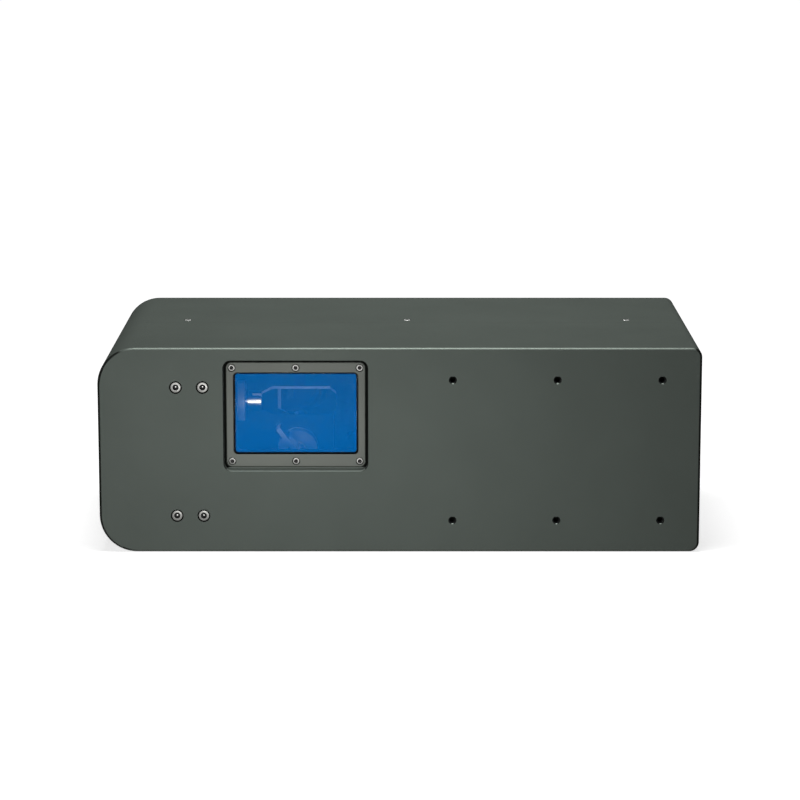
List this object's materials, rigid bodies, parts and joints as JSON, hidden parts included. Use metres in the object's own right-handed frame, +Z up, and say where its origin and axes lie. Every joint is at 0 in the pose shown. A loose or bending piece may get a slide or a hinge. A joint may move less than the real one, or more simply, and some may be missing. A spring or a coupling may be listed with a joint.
{
  "type": "galvo scanner head",
  "caption": "Closed metal scanner head with two mirror galvos, a moving focus lens and an objective, which steers a laser beam out of a side window.",
  "frame": {"origin": "middle of the bottom of the housing's box", "axes": "+Z up; the window and the tapped holes face -Y; the beam enters through the +X end and runs towards -X"},
  "size_m": [0.385, 0.212, 0.133],
  "materials": {
    "anodised_housing": "bead-blasted and dark grey-green anodised",
    "anodised_frame": "bead-blasted and grey anodised",
    "bright_screw": "turned stainless steel",
    "window_glass": "coated optical glass",
    "blue_film": "clear blue protective film",
    "black_rubber": "matt moulded rubber",
    "black_anodised": "matt black anodised",
    "bare_aluminium": "milled and turned aluminium",
    "motor_shell": "turned steel",
    "copper_winding": "enamelled copper wire",
    "bearing_steel": "ground steel",
    "magnet": "nickel-plated magnet",
    "sensor_plastic": "moulded black plastic",
    "coated_mirror": "polished and coated",
    "lens_glass": "coated lens glass",
    "circuit_board": "solder-masked board",
    "brass_post": "machined brass",
    "connector_metal": "nickel-plated shell"
  },
  "bodies": {
    "housing": {"front_shell": "anodised_housing", "back_shell": "anodised_housing", "shell_seal": "black_rubber", "seam_screws": "bright_screw", "window_frame": "anodised_frame", "window_frame_screws": "bright_screw", "window_glass": "window_glass", "window_film": "blue_film", "window_gasket": "black_rubber", "beam_port_ring": "black_anodised", "beam_port_glass": "window_glass", "beam_port_oring": "black_rubber", "galvo_block": "black_anodised", "galvo_block_screws": "bright_screw", "block_dowels": "bearing_steel", "motor_set_screws": "bright_screw", "first_motor": "motor_shell", "first_motor_winding": "copper_winding", "first_motor_bearings": "bearing_steel", "first_motor_sensor": "sensor_plastic", "second_motor": "motor_shell", "second_motor_winding": "copper_winding", "second_motor_bearings": "bearing_steel", "second_motor_sensor": "sensor_plastic", "focus_base": "bare_aluminium", "focus_base_screws": "bright_screw", "focus_rail": "bearing_steel", "focus_rail_screws": "bright_screw", "focus_stops": "black_rubber", "focus_yoke": "motor_shell", "focus_yoke_screws": "bright_screw", "focus_magnet": "magnet", "objective_barrel": "black_anodised", "objective_lenses": "lens_glass", "objective_rings": "black_anodised", "objective_cradle": "bare_aluminium", "objective_strap": "bare_aluminium", "objective_screws": "bright_screw", "first_driver_board": "circuit_board", "second_driver_board": "circuit_board", "focus_driver_board": "circuit_board", "interface_board": "circuit_board", "board_standoffs": "brass_post", "board_screws": "bright_screw", "signal_connector": "connector_metal", "signal_jackscrews": "bright_screw", "power_connector": "connector_metal"},
    "first_mirror_rotor": {"first_rotor": "bearing_steel", "first_mirror_clamp": "bare_aluminium", "first_clamp_screws": "bright_screw", "first_mirror": "coated_mirror"},
    "second_mirror_rotor": {"second_rotor": "bearing_steel", "second_mirror_clamp": "bare_aluminium", "second_clamp_screws": "bright_screw", "second_mirror": "coated_mirror"},
    "focus_slide": {"focus_carriage": "black_anodised", "focus_coil": "copper_winding", "focus_lens_cell": "bare_aluminium", "focus_lens": "lens_glass"}
  },
  "joints": [
    {"name": "first_mirror_scan", "type": "hinge", "parent": "housing", "child": "first_mirror_rotor", "pos_m": [-0.068, -0.042, 0.049], "axis": [0, 1, 0], "range_deg": [-18, 4]},
    {"name": "second_mirror_scan", "type": "hinge", "parent": "housing", "child": "second_mirror_rotor", "pos_m": [-0.0652, -0.042, 0.087], "axis": [1, 0, 0], "range_deg": [-11, 11]},
    {"name": "focus_travel", "type": "slide", "parent": "housing", "child": "focus_slide", "axis": [1, 0, 0], "range_m": [-0.004, 0.004]}
  ]
}
